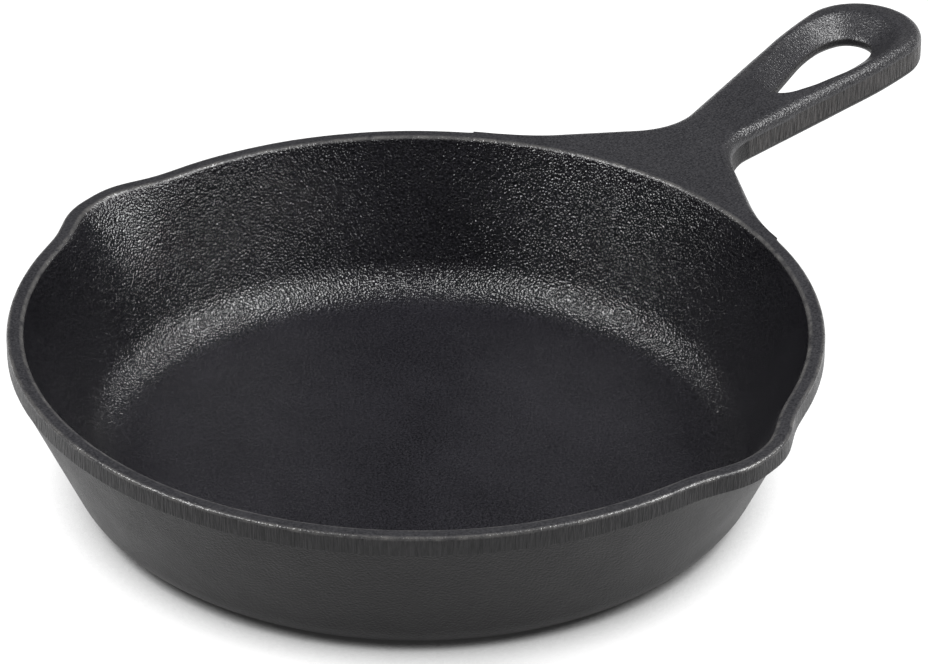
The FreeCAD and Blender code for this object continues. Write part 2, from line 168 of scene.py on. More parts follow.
class Shell:
    """The points and faces of one closed piece, gathered row by row."""

    def __init__(self, name):
        self.name = name
        self.points, self.directions = [], []
        self.grains, self.extras, self.wear_and_highlight_rows = [], [], []
        self.blocks, self.zones = [], []
        self.count = 0

    def row(self, points, directions, grain, extra=0.0, wear_and_highlight=0.0):
        """Add a row of points with the way each may rise; returns their numbers."""
        size = len(points)
        self.points.append(points)
        self.directions.append(directions)
        for kept, value in ((self.grains, grain), (self.extras, extra), (self.wear_and_highlight_rows, wear_and_highlight)):
            kept.append(np.broadcast_to(np.asarray(value, float), size))
        self.count += size
        return np.arange(self.count - size, self.count)

    def faces(self, block, zone):
        self.blocks.append(block)
        self.zones.append(zone)

    def strip(self, first, second, zone, closed=True):
        """Faces between two rows with equally many points, twice or half as many, or one."""
        if closed:
            first, second = np.append(first, first[0]), np.append(second, second[0])
        a, b = len(first) - 1, len(second) - 1
        if a == b:
            self.faces(np.stack([first[:-1], first[1:], second[1:], second[:-1]], 1), zone)
        elif b == 1:
            centre = np.full(a, second[0])
            self.faces(np.stack([first[:-1], first[1:], centre], 1), zone)
        elif a == 1:
            centre = np.full(b, first[0])
            self.faces(np.stack([centre, second[1:], second[:-1]], 1), zone)
        elif a == 2 * b:
            start, middle, end = first[:-1:2], first[1::2], first[2::2]
            self.faces(np.stack([start, middle, second[:-1]], 1), zone)
            self.faces(np.stack([middle, second[1:], second[:-1]], 1), zone)
            self.faces(np.stack([middle, end, second[1:]], 1), zone)
        else:
            start, middle, end = second[:-1:2], second[1::2], second[2::2]
            self.faces(np.stack([first[:-1], middle, start], 1), zone)
            self.faces(np.stack([first[:-1], first[1:], middle], 1), zone)
            self.faces(np.stack([first[1:], end, middle], 1), zone)

    def build(self, materials):
        """Raise the surface, make the mesh and let it ride on the casting's body."""
        points = np.concatenate(self.points)
        heights = relief(points, np.concatenate(self.grains)) + np.concatenate(self.extras)
        points = points + np.concatenate(self.directions) * heights[:, None]
        if self.volume(points) < 0:
            self.blocks = [block[:, ::-1] for block in self.blocks]
        used = sorted(set(self.zones))
        loops = np.concatenate([block.ravel() for block in self.blocks])
        sizes = np.concatenate([np.full(len(b), b.shape[1]) for b in self.blocks])
        slots = np.concatenate([np.full(len(b), used.index(zone))
                                for b, zone in zip(self.blocks, self.zones)])
        mesh = bpy.data.meshes.new(self.name)
        mesh.vertices.add(len(points))
        mesh.vertices.foreach_set("co", (points * MM).astype(np.float32).ravel())
        mesh.loops.add(len(loops))
        mesh.loops.foreach_set("vertex_index", loops.astype(np.int32))
        mesh.polygons.add(len(sizes))
        mesh.polygons.foreach_set("loop_start", (np.cumsum(sizes) - sizes).astype(np.int32))
        mesh.polygons.foreach_set("material_index", slots.astype(np.int32))
        for zone in used:
            mesh.materials.append(materials[zone])
        mesh.update(calc_edges=True)
        mesh.validate()
        # Per-point edge brightening for the materials: partly real wear, partly a painted highlight.
        wear_and_highlight = mesh.attributes.new("wear_and_highlight", "FLOAT", "POINT")
        wear_and_highlight.data.foreach_set("value", np.concatenate(self.wear_and_highlight_rows).astype(np.float32))
        mesh.shade_smooth()
        mesh.set_sharp_from_angle(angle=SHARP_FROM)
        piece = bpy.data.objects.new(self.name, mesh)
        bpy.context.scene.collection.objects.link(piece)
        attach(piece, "root")
        return piece

    def volume(self, points):
        total = 0.0
        for block in self.blocks:
            for corner in range(1, block.shape[1] - 1):
                a, b, c = points[block[:, 0]], points[block[:, corner]], points[block[:, corner + 1]]
                total += np.einsum("ij,ij->i", a, np.cross(b, c)).sum()
        return total


# ---------------------------------------------------------------- the pan's surface

def spout_angle(theta):
    """Angle from the nearer pour spout, in radians."""
    return np.abs(np.mod(theta, math.pi) - math.pi / 2)


def lip(theta):
    """How far the rim's outside stands out past its circle."""
    return LIP_REACH * np.exp(-(spout_angle(theta) / LIP_SPREAD) ** LIP_FULLNESS)


def groove(theta, z):
    """How far the spout's groove cuts into the inner wall."""
    rise = np.clip((z - GROOVE_FOOT) / (RIM_Z - GROOVE_FOOT), 0.0, 1.0)
    width = GROOVE_SPREAD * (0.4 + 0.6 * rise)
    return GROOVE_REACH * rise ** 2 * np.exp(-(spout_angle(theta) / width) ** GROOVE_FULLNESS)


def inner_radius(z):
    return INNER_CORNER + INNER_SLOPE * (z - FLOOR_Z)


def outer_radius(z):
    return OUTER_CORNER + OUTER_SLOPE * z


def knuckle(corner, base_z, radius, tilt, inside, spacing):
    """Points (r, z) and rising ways (r, z) along the rounding between floor and wall."""
    start = corner - radius * math.tan(tilt / 2)
    angle = np.linspace(0, tilt, int(radius * tilt / spacing) + 2)
    side = 1 if inside else -1
    points = np.stack([start + radius * np.sin(angle),
                       base_z + radius * (1 - np.cos(angle))], 1)
    return points, np.stack([-np.sin(angle), np.cos(angle)], 1) * side


def wall_line(radius_at, low, high, tilt, inside, spacing):
    """The same along a straight wall, without its lower end."""
    z = np.linspace(low, high, int((high - low) / math.sin(tilt) / spacing) + 2)[1:]
    way = np.array([-math.sin(tilt), math.cos(tilt)]) * (1 if inside else -1)
    return np.stack([radius_at(z), z], 1), np.tile(way, (len(z), 1))


def ring(r, z, way, theta):
    """A row of points round the pan's axis, and the ways they rise."""
    r, z = np.broadcast_to(r, theta.shape), np.broadcast_to(z, theta.shape)
    points = np.stack([r * np.cos(theta), r * np.sin(theta), z], 1)
    way = np.broadcast_to(way, (len(theta), 2))
    ways = np.stack([way[:, 0] * np.cos(theta), way[:, 0] * np.sin(theta), way[:, 1]], 1)
    return points, ways


def inside_grain(z):
    """The cooking floor is finer than the wall above it."""
    return 0.22 + 0.78 * smooth(z, FLOOR_Z + 0.4, FLOOR_Z + 6)


OUTSIDE_GRAIN = 0.4


def circle(columns):
    return np.arange(columns) / columns * 2 * math.pi


def floor_columns(radius):
    """Points round a row of the floor, halved as the rows get smaller."""
    columns = COLUMNS
    while columns > 9 and 2 * math.pi * radius / columns < 0.31:
        columns //= 2
    return columns


def make_pan_floor(materials):
    shell = Shell("Cooking_Floor")

    def add(points, ways, inside):
        rows = []
        for (r, z), way in zip(points, ways):
            theta = circle(floor_columns(r)) if r > 0 else np.zeros(1)
            placed, rise = ring(r, z, way, theta)
            grain = inside_grain(z) if inside else OUTSIDE_GRAIN
            rows.append(shell.row(placed, rise, grain))
        zone = "interior" if inside else "exterior"
        for first, second in zip(rows[:-1], rows[1:]):
            shell.strip(first, second, zone)
        return rows

    top, top_ways = knuckle(INNER_CORNER, FLOOR_Z, INNER_KNUCKLE, INNER_TILT, True, 0.45)
    rise, rise_ways = wall_line(inner_radius, top[-1, 1], KNUCKLE_Z, INNER_TILT, True, 0.45)
    level = np.linspace(top[0, 0], 0, int(top[0, 0] / 0.6))[1:]
    inner = np.concatenate([rise[::-1], top[::-1], np.stack([level, np.full(len(level), FLOOR_Z)], 1)])
    inner_ways = np.concatenate([rise_ways[::-1], top_ways[::-1], np.tile([0.0, 1.0], (len(level), 1))])

    low, low_ways = knuckle(OUTER_CORNER, 0.0, OUTER_KNUCKLE, OUTER_TILT, False, 0.9)
    side, side_ways = wall_line(outer_radius, low[-1, 1], KNUCKLE_Z, OUTER_TILT, False, 0.9)
    base = np.linspace(0, low[0, 0], int(low[0, 0] / 1.3))[:-1]
    outer = np.concatenate([np.stack([base, np.zeros(len(base))], 1), low, side])
    outer_ways = np.concatenate([np.tile([0.0, -1.0], (len(base), 1)), low_ways, side_ways])

    inner_rows = add(inner, inner_ways, True)
    outer_rows = add(outer, outer_ways, False)
    shell.strip(outer_rows[-1], inner_rows[0], "exterior")
    return shell.build(materials)


def make_side_wall(materials):
    shell = Shell("Side_Wall")
    theta = circle(COLUMNS)
    rows = []
    for inside in (True, False):
        radius_at, tilt = (inner_radius, INNER_TILT) if inside else (outer_radius, OUTER_TILT)
        spacing = 0.5 if inside else 0.58
        points, ways = wall_line(radius_at, KNUCKLE_Z, PARTING_Z, tilt, inside, spacing)
        points = np.concatenate([[[radius_at(KNUCKLE_Z), KNUCKLE_Z]], points])
        ways = np.concatenate([ways[:1], ways])
        if not inside:
            points, ways = points[::-1], ways[::-1]
        for (r, z), way in zip(points, ways):
            placed, rise = ring(r + (groove(theta, z) if inside else 0), z, way, theta)
            grain = inside_grain(z) if inside else OUTSIDE_GRAIN
            rows.append((shell.row(placed, rise, grain), "interior" if inside else "exterior"))
    for (first, zone), (second, _) in zip(rows, rows[1:] + rows[:1]):
        shell.strip(first, second, zone)
    return shell.build(materials)


# ---------------------------------------------------------------- rim and pour lips

def root_side(theta):
    """1 where the handle's root joins the rim, 0 elsewhere."""
    angle = np.abs(np.mod(theta + math.pi, 2 * math.pi) - math.pi)
    return 1 - smooth(angle, FLARE_ANGLE - 0.035, FLARE_ANGLE + 0.02)


def make_rim_part(name, start, count, materials):
    """Part of the rim: count columns on from start, with a flat at each end."""
    shell = Shell(name)
    theta = (start + np.arange(count + 1)) / (2 * COLUMNS) * 2 * math.pi
    along = theta * RIM_RADIUS
    root = root_side(theta)
    outside = RIM_RADIUS + lip(theta)
    in_way = np.array([-math.sin(INNER_TILT), math.cos(INNER_TILT)])
    rows = []

    def add(r, z, way, grain, zone, extra=0.0, wear_and_highlight=0.0):
        placed, rise = ring(r, z, way, theta)
        rows.append((shell.row(placed, rise, grain, extra, wear_and_highlight), zone))

    inner_edge = INNER_RIM_EDGE
    for z in np.linspace(PARTING_Z, RIM_Z - inner_edge * 0.91, 9):
        fade = smooth(z, RIM_Z - 3.0, RIM_Z - 0.5)
        add(inner_radius(z) + groove(theta, z), z, in_way,
            inside_grain(z) * (1 - 0.55 * fade), "interior")
    inner_top = INNER_RIM + groove(theta, RIM_Z)
    for t in np.linspace(0, 1, 6)[1:]:
        low = (1 - t) ** 2
        r = inner_top - inner_edge * 0.41 * low + inner_edge * t * t
        z = RIM_Z - inner_edge * 0.91 * low
        way = (1 - t) * in_way + t * np.array([0.0, 1.0])
        # The inner edge's rounding is painted brighter: partly wear, partly a painted highlight.
        add(r, z, way / np.linalg.norm(way), 0.3 - 0.15 * t, "rim_top", wear_and_highlight=math.sin(math.pi * t))
    edge = OUTER_RIM_EDGE * (1 - 0.93 * root)
    for t in np.linspace(0, 1, 9)[1:]:
        r = (1 - t) * (inner_top + inner_edge) + t * (outside - edge)
        add(r, RIM_Z, np.array([0.0, 1.0]), 0.15, "rim_top")
    for t in np.linspace(0, 1, 6)[1:]:
        r = outside - edge * (1 - t) ** 2
        z = RIM_Z - edge * t * t
        way = np.array([t, 1 - t]) / math.hypot(t, 1 - t)
        marks = EDGE_MARKS * streaks(along, np.full_like(along, RIM_Z), MARK_CELL, 11) * t * (1 - root)
        # The outer edge's rounding is painted brighter away from the handle: partly wear, partly a
        # painted highlight.
        add(r, z, way, 0.15, "rim_top" if t < 0.7 else "band", marks,
            math.sin(math.pi * t) * (1 - root))
    for t in np.linspace(0, 1, 13)[1:]:
        z = (RIM_Z - edge) * (1 - t) + PARTING_Z * t
        marks = BAND_MARKS * streaks(along, z, MARK_CELL, 11) * (1 - root)
        add(outside, z, np.array([1.0, 0.0]), 0.25, "band", marks)
    bottom_inner = inner_radius(PARTING_Z) + groove(theta, PARTING_Z)
    for t in np.linspace(0, 1, 5)[1:-1]:
        r = (1 - t) * outside + t * bottom_inner
        add(r, PARTING_Z, np.array([0.0, -1.0]), 0.25, "exterior")
    for (first, zone), (second, _) in zip(rows, rows[1:] + rows[:1]):
        shell.strip(first, second, zone, closed=False)
    section = np.array([row for row, _ in rows])
    shell.faces(section[:, :1].T[:, ::-1], "exterior")
    shell.faces(section[:, -1:].T, "exterior")
    return shell.build(materials)


# ---------------------------------------------------------------- the handle's outline, in plan

def arc(centre, radius, start, end, spacing=0.05):
    """Points along an arc between two angles, in radians."""
    angle = np.linspace(start, end, max(3, int(radius * abs(end - start) / spacing)))
    return np.stack([centre[0] + radius * np.cos(angle), centre[1] + radius * np.sin(angle)], 1)


class Outline:
    """A curve in plan that is read by its length: place and outward way at each point."""

    def __init__(self, points):
        steps = np.linalg.norm(np.diff(points, axis=0), axis=1)
        keep = np.append(True, steps > 1e-6)
        self.points = points[keep]
        steps = np.linalg.norm(np.diff(self.points, axis=0), axis=1)
        self.along = np.append(0.0, np.cumsum(steps))
        self.length = self.along[-1]

    def place(self, s):
        return np.stack([np.interp(s, self.along, self.points[:, k]) for k in (0, 1)], 1)

    def outward(self, s):
        """To the right-hand side of the way along the curve, seen from above."""
        ahead = self.place(np.minimum(s + 0.05, self.length))
        behind = self.place(np.maximum(s - 0.05, 0.0))
        way = (ahead - behind) / np.linalg.norm(ahead - behind, axis=1)[:, None]
        return np.stack([way[:, 1], -way[:, 0]], 1)


SHOULDER = np.array([LOOP_CENTRE - SHOULDER_RADIUS * math.sin(HANDLE_TAPER),
                     LOOP_RADIUS - SHOULDER_RADIUS * (1 - math.cos(HANDLE_TAPER))])
NECK_START_Y = SHOULDER[1] - (SHOULDER[0] - NECK_START) * math.tan(HANDLE_TAPER)
THROAT_CENTRE = np.array([NECK_START - THROAT_RADIUS * math.sin(HANDLE_TAPER),
                          NECK_START_Y + THROAT_RADIUS * math.cos(HANDLE_TAPER)])
WEB_END = THROAT_CENTRE - THROAT_RADIUS * np.array([math.sin(WEB_ANGLE), math.cos(WEB_ANGLE)])
WEB_OFFSET = WEB_END[0] * math.sin(WEB_ANGLE) + WEB_END[1] * math.cos(WEB_ANGLE)
FLARE_ANGLE = math.asin((WEB_OFFSET + FLARE_RADIUS) / (RIM_RADIUS + FLARE_RADIUS)) - WEB_ANGLE
FLARE_CENTRE = (RIM_RADIUS + FLARE_RADIUS) * np.array([math.cos(FLARE_ANGLE), math.sin(FLARE_ANGLE)])

# Far side of the handle, from the rim to the loop's end. The near side mirrors it.
HALF = Outline(np.concatenate([
    arc(FLARE_CENTRE, FLARE_RADIUS, math.pi + FLARE_ANGLE, 1.5 * math.pi - WEB_ANGLE),
    arc(THROAT_CENTRE, THROAT_RADIUS, 1.5 * math.pi - WEB_ANGLE, 1.5 * math.pi + HANDLE_TAPER),
    arc((LOOP_CENTRE, LOOP_RADIUS - SHOULDER_RADIUS), SHOULDER_RADIUS,
        math.pi / 2 + HANDLE_TAPER, math.pi / 2),
    arc((LOOP_CENTRE, 0.0), LOOP_RADIUS, math.pi / 2, 0.0),
]))
AT_NECK_START = float(np.interp(NECK_START, HALF.points[:, 0], HALF.along))
AT_NECK_END = float(np.interp(NECK_END, HALF.points[:, 0], HALF.along))


def outline_at(s):
    """Place and outward way on the far side's outline."""
    return HALF.place(s), -HALF.outward(s)


def underside(x, y):
    """Height of the root's arched underside, with the wall's own line as a floor."""
    rise = HANDLE_UNDERSIDE - ROOT_FOOT
    run = NECK_START - outer_radius(ROOT_FOOT)
    arch_radius = (run ** 2 + rise ** 2) / (2 * rise)
    reach = np.clip(NECK_START - x, 0.0, arch_radius * 0.9)
    arch = HANDLE_UNDERSIDE - (arch_radius - np.sqrt(arch_radius ** 2 - reach ** 2))
    half = RIM_RADIUS * math.sin(FLARE_ANGLE)
    drop = PARTING_Z - ROOT_FOOT
    belly_radius = (half ** 2 + drop ** 2) / (2 * drop)
    across = np.clip(np.abs(y), 0.0, half)
    belly = ROOT_FOOT + belly_radius - np.sqrt(belly_radius ** 2 - across ** 2)
    blend = np.clip(0.5 + 0.5 * (arch - belly) / 2.5, 0.0, 1.0)
    return belly + (arch - belly) * blend + 2.5 * blend * (1 - blend) * 0.3


def side_marks(s, x, z):
    """Grinding marks on the handle's sides, strongest on the loop."""
    depth = 0.01 + 0.10 * smooth(x, 108.0, 124.0)
    patches = 0.6 + 0.4 * value_noise(np.stack([s, z * 0.5, s * 0], 1), 7.0, 31)
    return depth * patches * streaks(s, z, 0.62, 21)


LATERAL = 95                   # points across the root's and the neck's top
CORNER = 8                     # points round a side's upper or lower edge
SIDE = 13                      # points down a side's face


def side_profile(top_edge, low_edge, foot):
    """Round the upper edge, down the face and round the lower edge.

    Gives the distance in from the outline, the height, and the way out and up that it faces.
    """
    turn = np.linspace(0, 1, CORNER + 2)[1:-1] * math.pi / 2
    face = np.linspace(RIM_Z - top_edge, foot + low_edge, SIDE)
    inward = np.concatenate([top_edge * (1 - np.sin(turn)), np.zeros(SIDE),
                             low_edge * (1 - np.cos(turn))])
    height = np.concatenate([RIM_Z - top_edge * (1 - np.cos(turn)), face,
                             foot + low_edge * (1 - np.sin(turn))])
    out = np.concatenate([np.sin(turn), np.ones(SIDE), np.cos(turn)])
    up = np.concatenate([np.cos(turn), np.zeros(SIDE), -np.sin(turn)])
    # The upper edge's rounding is painted brighter: partly wear, partly a painted highlight.
    wear_and_highlight = np.concatenate([np.sin(2 * turn), np.zeros(SIDE + CORNER)])
    return inward, height, out, up, wear_and_highlight


SIDE_POINTS = 2 * CORNER + SIDE
UP = np.array([0.0, 0.0, 1.0])
MIRROR = np.array([1.0, -1.0, 1.0])


def outside_rim(points):
    """Points moved out to the rim's circle where they lie within it."""
    radius = np.hypot(points[:, 0], points[:, 1])
    scale = np.maximum(RIM_RADIUS / radius, 1.0)
    return points * np.stack([scale, scale, np.ones_like(scale)], 1)


def soft_min(first, second, width):
    """The lower of two surfaces, with a fillet where they cross."""
    blend = np.clip(0.5 + 0.5 * (second - first) / width, 0.0, 1.0)
    return second + (first - second) * blend - width * blend * (1 - blend)


def handle_row(shell, s):
    """One closed row of points round the root or the neck, from the near top edge."""
    place, way = (value[0] for value in outline_at(np.array([s])))
    if abs(s - AT_NECK_END) < 1e-6:
        way = np.array([0.0, 1.0])
    share = s / AT_NECK_START
    rooted = share < 1
    if rooted:
        centre_x = RIM_RADIUS + (NECK_START - RIM_RADIUS) * share
        bow = max(FLARE_ANGLE * (1 - share), 1e-3)
    else:
        centre_x, bow = place[0], 1e-3
    top_edge = 0.3 + (UPPER_EDGE - 0.3) * smooth(s, 2.0, 18.0)
    low_edge = 0.2 + (ROOT_LOWER_EDGE - 0.2) * smooth(s, 2.0, 12.0)
    low_edge += (LOWER_EDGE - ROOT_LOWER_EDGE) * smooth(share, 0.75, 1.0)
    w = np.linspace(-1, 1, LATERAL)

    def across(end):
        bowed = (1 - np.cos(bow * w)) / (1 - math.cos(bow))
        return (centre_x + (end[0] - centre_x) * bowed,
                end[1] * np.sin(bow * w) / math.sin(bow))

    x, y = across(place - way * top_edge)
    top = outside_rim(np.stack([x, y, np.full(LATERAL, RIM_Z)], 1))
    x, y = across(place - way * low_edge)
    foot = HANDLE_UNDERSIDE
    low_z = np.full(LATERAL, HANDLE_UNDERSIDE)
    if rooted:
        radius = np.maximum(np.hypot(x, y), RIM_RADIUS)
        scale = radius / np.hypot(x, y)
        x, y = x * scale, y * scale
        near_wall = underside(x * 79.0 / radius, y * 79.0 / radius)
        inward = (RIM_RADIUS - outer_radius(near_wall) + 1.6) * (1 - smooth(s, 0.0, 13.0))
        x, y, radius = x * (radius - inward) / radius, y * (radius - inward) / radius, radius - inward
        wall = (radius - OUTER_CORNER) / OUTER_SLOPE + 0.45
        low_z = soft_min(underside(x, y), wall, 2.2)
        tip = (1 - smooth(s, 0.0, 16.0)) * smooth(np.abs(w), 0.8, 1.0)
        low_z = low_z + (PARTING_Z - low_z) * tip
        foot = float(low_z[-1])
    low_z = low_z[::-1]
    bottom = np.stack([x[::-1], y[::-1], low_z], 1)

    inward, height, out, up, wear_and_highlight = side_profile(top_edge, low_edge, foot)
    plan = place - inward[:, None] * way
    far = np.column_stack([plan, height])
    if rooted:
        hidden = smooth(s, 0.0, 6.0)
        far = far * hidden + outside_rim(far) * (1 - hidden)
    far_way = np.column_stack([out[:, None] * way, up])
    marks = side_marks(np.full(SIDE_POINTS, s), far[:, 0], height) * out

    points = np.concatenate([top, far, bottom, far[::-1] * MIRROR])
    ways = np.concatenate([np.tile(UP, (LATERAL, 1)), far_way, np.tile(-UP, (LATERAL, 1)),
                           far_way[::-1] * MIRROR])
    none = np.zeros(LATERAL)
    grain = np.concatenate([none + 0.15, 0.15 + 0.2 * out, none + 0.4, 0.15 + 0.2 * out[::-1]])
    extra = np.concatenate([none, marks, none, marks[::-1]])
    edges = np.concatenate([none, wear_and_highlight, none, wear_and_highlight[::-1]])
    return shell.row(points, ways, grain, extra, edges)


def ring_zone(shell, first, second, groups):
    """Faces between two closed rows, in groups of (points, zone) along them."""
    first = np.append(first, first[0])
    second = np.append(second, second[0])
    start = 0
    for count, zone in groups:
        shell.strip(first[start:start + count + 1], second[start:start + count + 1],
                    zone, closed=False)
        start += count


def handle_groups(side):
    """The zones round a row of the root or the neck, given that of its sides."""
    return ((LATERAL - 1, "handle_top"), (CORNER, "handle_top"), (SIDE, side),
            (CORNER + 1, "exterior"), (LATERAL - 1, "exterior"), (CORNER, "exterior"),
            (SIDE, side), (CORNER + 1, "handle_top"))


def close_end(shell, row, back):
    """Close a row of the root or the neck: upright strips, and a face at each side."""
    top, far = row[:LATERAL], row[LATERAL:LATERAL + SIDE_POINTS]
    bottom = row[LATERAL + SIDE_POINTS:2 * LATERAL + SIDE_POINTS][::-1]
    near = row[2 * LATERAL + SIDE_POINTS:]
    first, second = (bottom, top) if back else (top, bottom)
    shell.strip(first, second, "exterior", closed=False)
    for corner in (np.concatenate([[top[-1]], far, [bottom[-1]]]),
                   np.concatenate([[bottom[0]], near, [top[0]]])):
        shell.faces((corner[::-1] if back else corner)[None, :], "exterior")


def make_handle_part(name, start, end, spacing, side, materials):
    """The root or the neck, between two places along the outline."""
    shell = Shell(name)
    rows = [handle_row(shell, s) for s in np.linspace(start, end, int((end - start) / spacing) + 1)]
    for first, second in zip(rows[:-1], rows[1:]):
        ring_zone(shell, first, second, handle_groups(side))
    close_end(shell, rows[0], False)
    close_end(shell, rows[-1], True)
    return shell.build(materials)


# ---------------------------------------------------------------- the hanging loop

def hole_outline():
    """The teardrop hole, once round, as points close together."""
    flank = np.array([HOLE_WIDE_X - HOLE_FLANK_RADIUS * math.sin(HOLE_TAPER),
                      HOLE_HALF_WIDTH - HOLE_FLANK_RADIUS * (1 - math.cos(HOLE_TAPER))])
    tip_x = flank[0] - (flank[1] - HOLE_TIP_RADIUS / math.cos(HOLE_TAPER)) / math.tan(HOLE_TAPER)
    end_x = HOLE_END_X - HOLE_END_RADIUS
    shoulder = ((end_x - HOLE_WIDE_X) ** 2 / (HOLE_HALF_WIDTH - HOLE_END_RADIUS)
                + HOLE_HALF_WIDTH + HOLE_END_RADIUS) / 2
    turn = math.asin((end_x - HOLE_WIDE_X) / (shoulder - HOLE_END_RADIUS))
    half = np.concatenate([
        arc((tip_x, 0.0), HOLE_TIP_RADIUS, math.pi, math.pi / 2 + HOLE_TAPER, 0.1),
        arc((HOLE_WIDE_X, HOLE_HALF_WIDTH - HOLE_FLANK_RADIUS), HOLE_FLANK_RADIUS,
            math.pi / 2 + HOLE_TAPER, math.pi / 2, 0.1),
        arc((HOLE_WIDE_X, HOLE_HALF_WIDTH - shoulder), shoulder, math.pi / 2,
            math.pi / 2 - turn, 0.1),
        arc((end_x, 0.0), HOLE_END_RADIUS, math.pi / 2 - turn, 0.0, 0.1),
    ])
    return np.concatenate([half, half[::-1][1:] * np.array([1, -1])])


HOLE_LINE = hole_outline()


def nearest_on(line, points):
    """The nearest place on a line of points to each point."""
    a, b = line[:-1], line[1:]
    keep = np.linalg.norm(b - a, axis=1) > 1e-9
    a, b = a[keep], b[keep]
    along = ((points[:, None] - a) * (b - a)).sum(2) / ((b - a) ** 2).sum(1)
    places = a + np.clip(along, 0, 1)[:, :, None] * (b - a)
    best = np.linalg.norm(points[:, None] - places, axis=2).argmin(1)
    return places[np.arange(len(points)), best]


def dish_reach(x):
    """Width of the sloped border: narrow at the tip, wide at the loop's end."""
    return 4.6 + 0.9 * smooth(x, 128.0, 137.0) + 1.3 * smooth(x, 160.0, 171.0)


def dish(distance, reach, depth):
    """Depth of the sloped border at a distance from the hole, and its slope."""
    soft = 0.1
    u = 1 - distance / (reach / (1 + soft))
    fall = np.where(u > soft, u, np.clip(u + soft, 0, None) ** 2 / (4 * soft))
    slope = np.where(u > soft, 1.0, np.clip(u + soft, 0, None) / (2 * soft))
    return depth * fall, depth * slope * (1 + soft) / reach


ACROSS = 22                    # points over the sloped border, above or below
HOLE_SIDE = 9                  # points down the hole's wall
HOLE_EDGE = 0.45


def loop_row(shell, s, place, way, edge_way):
    """One closed row round the loop's section: border, outer side, underside, hole wall."""
    cut = edge_way is None
    if cut:
        upper_rim, lower_rim = place
        t = np.linspace(0, 1, SIDE_POINTS + 2)[1:-1, None]
        side = (1 - t) * upper_rim + t * lower_rim
        height = np.linspace(RIM_Z, HANDLE_UNDERSIDE, SIDE_POINTS + 2)[1:-1]
        side_way = np.tile([-1.0, 0.0, 0.0], (SIDE_POINTS, 1))
        marks = wear_and_highlight = out = np.zeros(SIDE_POINTS)
    else:
        inward, height, out, up, wear_and_highlight = side_profile(UPPER_EDGE, LOWER_EDGE, HANDLE_UNDERSIDE)
        side = place - inward[:, None] * edge_way
        side_way = np.column_stack([out[:, None] * edge_way, up])
        marks = side_marks(np.full(SIDE_POINTS, s), side[:, 0], height) * out
        upper_rim, lower_rim = place - UPPER_EDGE * edge_way, place - LOWER_EDGE * edge_way
    hole = nearest_on(HOLE_LINE, upper_rim[None])[0]
    reach = dish_reach(upper_rim[0])
    outward = (upper_rim - hole) / np.linalg.norm(upper_rim - hole)
    if not cut:
        rounded = np.linalg.norm(side[:CORNER] - hole, axis=1)
        height[:CORNER] -= dish(rounded, reach, DISH_DEPTH)[0]

    def border(rim, level, depth, sign):
        """Points from the hole's edge out to the rim of the loop's top or underside."""
        gap = np.linalg.norm(rim - hole)
        way = (rim - hole) / gap
        distance = HOLE_EDGE + (gap - HOLE_EDGE) * np.linspace(0, 1, ACROSS)
        fall, slope = dish(distance, reach, depth)
        points = np.column_stack([hole + distance[:, None] * way, level - sign * fall])
        ways = np.column_stack([-slope[:, None] * way, np.full(ACROSS, sign)])
        return points, ways / np.linalg.norm(ways, axis=1)[:, None]

    top, top_way = border(upper_rim, RIM_Z, DISH_DEPTH, 1.0)
    low, low_way = border(lower_rim, HANDLE_UNDERSIDE, DISH_DEPTH_BELOW, -1.0)
    t = np.linspace(0, 1, HOLE_SIDE)
    upper_z, lower_z = top[0, 2] - HOLE_EDGE, low[0, 2] + HOLE_EDGE
    bulge = HOLE_EDGE * (0.35 * (2 * t - 1) ** 6)
    wall = np.column_stack([hole + bulge[:, None] * outward, lower_z + (upper_z - lower_z) * t])
    wall_way = np.tile([-outward[0], -outward[1], 0.0], (HOLE_SIDE, 1))
    points = np.concatenate([top, np.column_stack([side, height]), low[::-1], wall])
    ways = np.concatenate([top_way, side_way, low_way[::-1], wall_way])
    flat = np.zeros(ACROSS)
    # The sloped border's ridge and the hole's upper and lower edges are painted brighter: partly wear,
    # partly a painted highlight.
    ridge = np.exp(-((np.linspace(0, 1, ACROSS) - 0.93) / 0.1) ** 2) * (not cut)
    none = np.zeros(HOLE_SIDE)
    grain = np.concatenate([flat + 0.22, 0.15 + 0.2 * out, flat + 0.4, none + 0.3])
    extra = np.concatenate([flat, marks, flat, none])
    worn_and_highlit = np.concatenate([ridge, wear_and_highlight, flat, (2 * t - 1) ** 4])
    return shell.row(points, ways, grain, extra, worn_and_highlit)


LOOP_GROUPS = (
    (ACROSS - 1, "handle_top"), (CORNER, "handle_top"), (SIDE, "handle_side"),
    (CORNER, "exterior"), (ACROSS, "exterior"), (HOLE_SIDE, "exterior"), (1, "handle_top"),
)


def make_hanging_loop(materials):
    shell = Shell("Hanging_Loop")
    s = np.linspace(AT_NECK_END, HALF.length, 210)
    places, ways = outline_at(s)
    ways[0], ways[-1] = (0.0, 1.0), (1.0, 0.0)
    rows = [loop_row(shell, a, p, w, w) for a, p, w in zip(s, places, ways)]
    flip = np.array([1.0, -1.0])
    rows += [loop_row(shell, a, p * flip, w * flip, w * flip)
             for a, p, w in zip(s[-2::-1], places[-2::-1], ways[-2::-1])]
    for w in np.linspace(-1, 1, LATERAL)[1:-1]:
        ends = np.array([[NECK_END, (places[0, 1] - edge) * w] for edge in (UPPER_EDGE, LOWER_EDGE)])
        rows.append(loop_row(shell, 0.0, ends, None, None))
    for first, second in zip(rows, rows[1:] + rows[:1]):
        ring_zone(shell, first, second, LOOP_GROUPS)
    return shell.build(materials)


# ---------------------------------------------------------------- materials

def lerp_node(tree, share, low, high):
    """A number that runs from low to high as share runs from 0 to 1."""
    node = tree.nodes.new("ShaderNodeMapRange")
    node.inputs["To Min"].default_value = low
    node.inputs["To Max"].default_value = high
    tree.links.new(share, node.inputs["Value"])
    return node.outputs["Result"]


